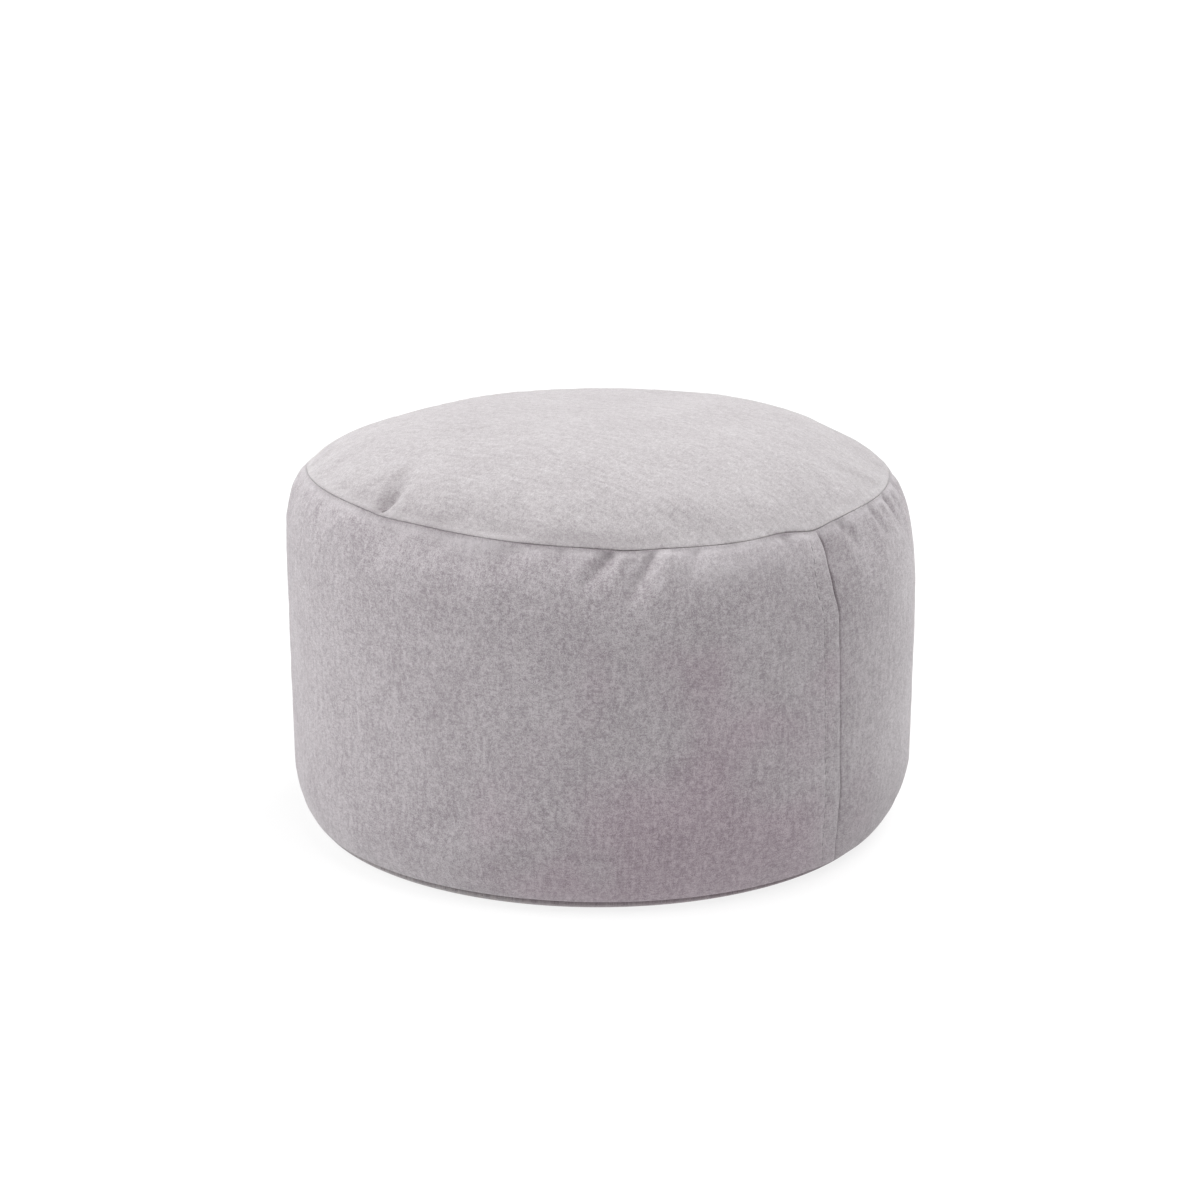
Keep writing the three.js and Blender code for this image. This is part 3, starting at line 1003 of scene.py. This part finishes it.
def thread_relief(shade, place):
    """Plain weave: where the warp lies over the weft, and how high the upper thread stands."""
    across = shade.node("ShaderNodeSeparateXYZ", None, {0: place}, "X")
    per_thread = math.pi / WEAVE.thread
    wave_across = shade.maths("SINE", across * per_thread)
    wave_along = shade.maths("SINE", across.other("Y") * per_thread)
    warp_over = shade.ramp(wave_across * wave_along, -WEAVE.crossing, WEAVE.crossing)
    ridge_across = shade.maths("ABSOLUTE", wave_across)
    ridge_along = shade.maths("ABSOLUTE", wave_along)
    warp_height = ridge_across * ridge_along ** WEAVE.roundness
    weft_height = ridge_across ** WEAVE.roundness * ridge_along
    return warp_over, warp_over * warp_height + (1 - warp_over) * weft_height


def heather_colour(shade, place, warp_over, warp, fibre, cloth):
    """Pale and dark fibres spun together, so each thread changes shade along its length."""
    weft = shade.grain("weft", place)
    spun = warp_over * warp + (1 - warp_over) * weft + (fibre - 0.5) * WEAVE.fibre_share
    streak, mottle, cloud = (shade.grain(name, place) - 0.5 for name in ("streak", "mottle", "cloud"))
    melange = 0.5 + (spun - 0.5) * cloth.contrast + streak * cloth.streaks
    melange = melange + (mottle + cloud * 0.5) * cloth.mottling
    stops = ((0.3, WEAVE.dark), (0.5, WEAVE.middle), (0.7, WEAVE.pale))
    return shade.node("ShaderNodeValToRGB", {"stops": stops}, {0: melange})


def mauve_cast(shade, body_place):
    """How much of the faint mauve shows, most of all low on the front."""
    sockets = {0: body_place, 1: MAUVE.middle}
    from_middle = shade.node("ShaderNodeVectorMath", {"operation": "SUBTRACT"}, sockets)
    spread = shade.scaled(from_middle, (1 / MAUVE.reach,) * 3)
    apart = shade.node("ShaderNodeVectorMath", {"operation": "LENGTH"}, {0: spread}, "Value")
    uneven = (shade.grain("mauve", body_place) - 0.5) * MAUVE.unevenness
    return 1 - shade.ramp(apart + uneven, MAUVE.full_within, MAUVE.gone_past)


def cloth_material(name):
    """Heathered plain weave on the cut cloth's own layout in millimetres: U across the warp, V along it."""
    material, shade = new_material(name)
    cloth = CLOTHS[name]
    flat = shade.node("ShaderNodeUVMap", {"uv_map": "cut_cloth"})
    body_place = shade.node("ShaderNodeTexCoord", out="Object")
    wander = shade.scaled(shade.grain("wander", flat, "Color"), (WEAVE.wander,) * 3)
    place = shade.node("ShaderNodeVectorMath", {"operation": "ADD"}, {0: flat, 1: wander})
    warp_over, thread_height = thread_relief(shade, place)
    warp = shade.grain("warp", place)
    fibre = shade.grain("fibre", place)

    heather = heather_colour(shade, place, warp_over, warp, fibre, cloth)
    colour = shade.tinted(mauve_cast(shade, body_place), heather, MAUVE.tint)
    # Painted highlight where the rolled edges catch the light
    edge = shade.node("ShaderNodeAttribute", {"attribute_name": "edge_fuzz"}, out="Fac")
    colour = shade.blend(edge * WEAVE.brushed_share, colour, WEAVE.brushed)
    # Painted shade in the seams and folds
    painted_shade = shade.node("ShaderNodeAttribute", {"attribute_name": "seam_shade"}, out="Fac")
    colour = shade.tinted(painted_shade, colour, WEAVE.seam_shade)
    # The tone is partly painted light and shade: the top's is paler than the band's
    colour = shade.blend(1.0, colour, cloth.tone, "MULTIPLY")
    height = shade.node("ShaderNodeSeparateXYZ", None, {0: body_place}, "Z")
    colour = shade.tinted(1 - shade.ramp(height, 0, WEAVE.low_reach), colour, WEAVE.low_shade)

    lint = shade.grain("lint", place)
    relief = thread_height * RELIEF.threads + lint * RELIEF.lint + warp * RELIEF.fibres
    bump = {"Strength": RELIEF.strength, "Distance": RELIEF.depth * MM, "Height": relief}
    rough = FINISH.roughness + (fibre - 0.5) * FINISH.by_fibre
    shade.surface({
        "Base Color": colour,
        "Roughness": rough + (1 - thread_height) * FINISH.between_threads,
        "Specular IOR Level": FINISH.gloss,
        "Sheen Weight": FINISH.sheen,
        "Sheen Roughness": FINISH.sheen_roughness,
        "Normal": shade.node("ShaderNodeBump", None, bump),
    })
    return material


def thread_material():
    """Two-ply sewing thread."""
    material, shade = new_material("stitching_thread")
    place = shade.node("ShaderNodeTexCoord", out="Object")
    twist = {"Vector": place, "Scale": THREAD.plies, "Distortion": THREAD.twist, "Detail": 1}
    ply = shade.node("ShaderNodeTexWave", {"bands_direction": "DIAGONAL"}, twist, "Fac")
    bump = {"Strength": THREAD.strength, "Distance": THREAD.depth * MM, "Height": ply}
    shade.surface({
        "Base Color": shade.blend(ply, THREAD.dark, THREAD.pale),
        "Roughness": THREAD.roughness + ply * THREAD.by_ply,
        "Sheen Weight": THREAD.sheen,
        "Normal": shade.node("ShaderNodeBump", None, bump),
    })
    return material


def floor_material():
    """A pale floor, partly lit from within, so that it meets the sky without an edge."""
    material, shade = new_material("pale_floor")
    speck = shade.grain("floor", shade.node("ShaderNodeTexCoord", out="Object"))
    shade.surface({
        "Base Color": (*[FLOOR.colour] * 3, 1),
        "Roughness": FLOOR.roughness + (speck - 0.5) * FLOOR.speckle,
        "Specular IOR Level": FLOOR.gloss,
        "Emission Color": (1, 1, 1, 1),
        "Emission Strength": FLOOR.glow,
    })
    return material


def stitch_tree(material):
    """Sets thread stitches end to end along a line."""
    tree = bpy.data.node_groups.new("topstitching", "GeometryNodeTree")
    sockets = tree.interface
    sockets.new_socket("Seam line", in_out="INPUT", socket_type="NodeSocketGeometry")
    for name, size in STITCHES.items():
        kind = "NodeSocketInt" if isinstance(size, int) else "NodeSocketFloat"
        sockets.new_socket(name, in_out="INPUT", socket_type=kind)
    sockets.new_socket("Stitches", in_out="OUTPUT", socket_type="NodeSocketGeometry")

    row = Nodes(tree)
    line = row.node("NodeGroupInput")
    spaced = {"Curve": line, "Length": line.other("Pitch")}
    spots = row.node("GeometryNodeCurveToPoints", {"mode": "LENGTH"}, spaced)
    facing = row.node("FunctionNodeAlignRotationToVector", {"axis": "X"}, {"Vector": spots.other("Tangent")})
    uneven = line.other("Unevenness")
    limits = {2: 1 - uneven, 3: 1 + uneven, "Seed": line.other("Seed")}
    vary = row.node("FunctionNodeRandomValue", {"data_type": "FLOAT"}, limits, out=1)
    reach = line.other("Stitch length") * 0.5 * vary
    thick = line.other("Thread radius")
    stitch = {"Segments": STITCH_ROW.sides, "Rings": STITCH_ROW.rings, "Radius": 1}
    laid = row.node("GeometryNodeInstanceOnPoints", None, {
        "Points": spots,
        "Instance": row.node("GeometryNodeMeshUVSphere", None, stitch),
        "Rotation": facing,
        "Scale": row.node("ShaderNodeCombineXYZ", None, {0: reach, 1: thick, 2: thick}),
    })
    real = row.node("GeometryNodeRealizeInstances", None, {"Geometry": laid})
    smooth = row.node("GeometryNodeSetShadeSmooth", None, {"Geometry": real})
    finished = row.node("GeometryNodeSetMaterial", None, {"Geometry": smooth, "Material": material})
    row.node("NodeGroupOutput", None, {0: finished})
    return tree


def topstitching(filling, material):
    """The row of stitches that holds the lapped edge down, beside its fold."""
    column = CLOSING_SEAM.azimuth - LAP.stitch_inset / BAND_MM_PER_DEGREE
    tall = top_seam_height(column) - size_at("base_seam_height", column)
    ends = STITCH_ROW.from_seams / tall
    shares = np.linspace(ends, 1 - ends, STITCH_ROW.points)
    path, _, _ = band_place(np.full_like(shares, column), shares, filling)

    line = bpy.data.curves.new("stitch_line", "CURVE")
    line.dimensions = "3D"
    spline = line.splines.new("POLY")
    spline.points.add(len(path) - 1)
    spline.points.foreach_set("co", np.concatenate([path * MM, np.ones((len(path), 1))], 1).ravel())
    carrier = placed("stitch_line", line)
    modifier = carrier.modifiers.new("topstitching", "NODES")
    modifier.node_group = stitch_tree(material)
    for item in modifier.node_group.interface.items_tree:
        if item.name in STITCHES:
            modifier[item.identifier] = STITCHES[item.name]
    evaluated = carrier.evaluated_get(bpy.context.evaluated_depsgraph_get())
    stitches = placed("topstitching", bpy.data.meshes.new_from_object(evaluated))
    bpy.data.objects.remove(carrier)
    return stitches


def pale_floor():
    half = FLOOR.half_width
    corners = np.array([[-half, -half, 0], [half, -half, 0], [half, half, 0], [-half, half, 0]])
    floor = make_mesh("floor", corners, [[0, 1, 2, 3]])
    floor.data.materials.append(floor_material())


def white_studio():
    """Soft suns, and a sky that is a bright wall low round the horizon and dim above it."""
    for name, light in SUNS.items():
        lamp = bpy.data.lights.new(name, "SUN")
        lamp.energy = light.strength
        lamp.angle = math.radians(light.width)
        turn = (math.radians(90 - light.elevation), 0, math.radians(light.azimuth))
        placed(name, lamp).rotation_euler = turn

    world = bpy.data.worlds.new("white_studio")
    world.use_nodes = True
    sky = Nodes(world.node_tree)
    direction = sky.node("ShaderNodeTexCoord", out="Generated")
    height = sky.node("ShaderNodeSeparateXYZ", None, {0: direction}, "Z")
    wall_top, fades_by = (math.sin(math.radians(angle)) for angle in (SKY.wall_top, SKY.fades_by))
    strength = SKY.wall + (SKY.above - SKY.wall) * sky.ramp(height, wall_top, fades_by)
    glow = sky.node("ShaderNodeBackground", None, {"Strength": strength})
    sky.node("ShaderNodeOutputWorld", None, {"Surface": glow})
    bpy.context.scene.world = world
    bpy.context.scene.view_settings.view_transform = "Standard"


def photo_camera():
    pitch = math.radians(CAMERA.pitch)
    lens = bpy.data.cameras.new("photo_view")
    lens.lens = CAMERA.lens
    lens.sensor_width = CAMERA.sensor
    lens.shift_x, lens.shift_y = CAMERA_SHIFT
    lens.clip_end = CAMERA.sees_to
    camera = placed("photo_view", lens)
    back = CAMERA.distance * MM
    camera.location = (0, -back * math.cos(pitch), CAMERA.aim_height * MM + back * math.sin(pitch))
    camera.rotation_euler = (math.pi / 2 - pitch, 0, 0)
    bpy.context.scene.camera = camera


def dress(piece, node, cloth):
    """Puts a cloth piece in the place of its CAD node."""
    piece.data.materials.append(cloth_material(cloth))
    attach(piece, "root")
    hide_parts(node)


photo_camera()
pale_floor()
white_studio()
filling = Filling()
dress(top_panel(filling), "top_panel", "top_heather")
dress(side_band(filling), "side_band", "band_heather")
dress(base_panel(), "base_panel", "base_heather")
stitches = topstitching(filling, thread_material())
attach(stitches, "root")

bpy.context.view_layer.update()
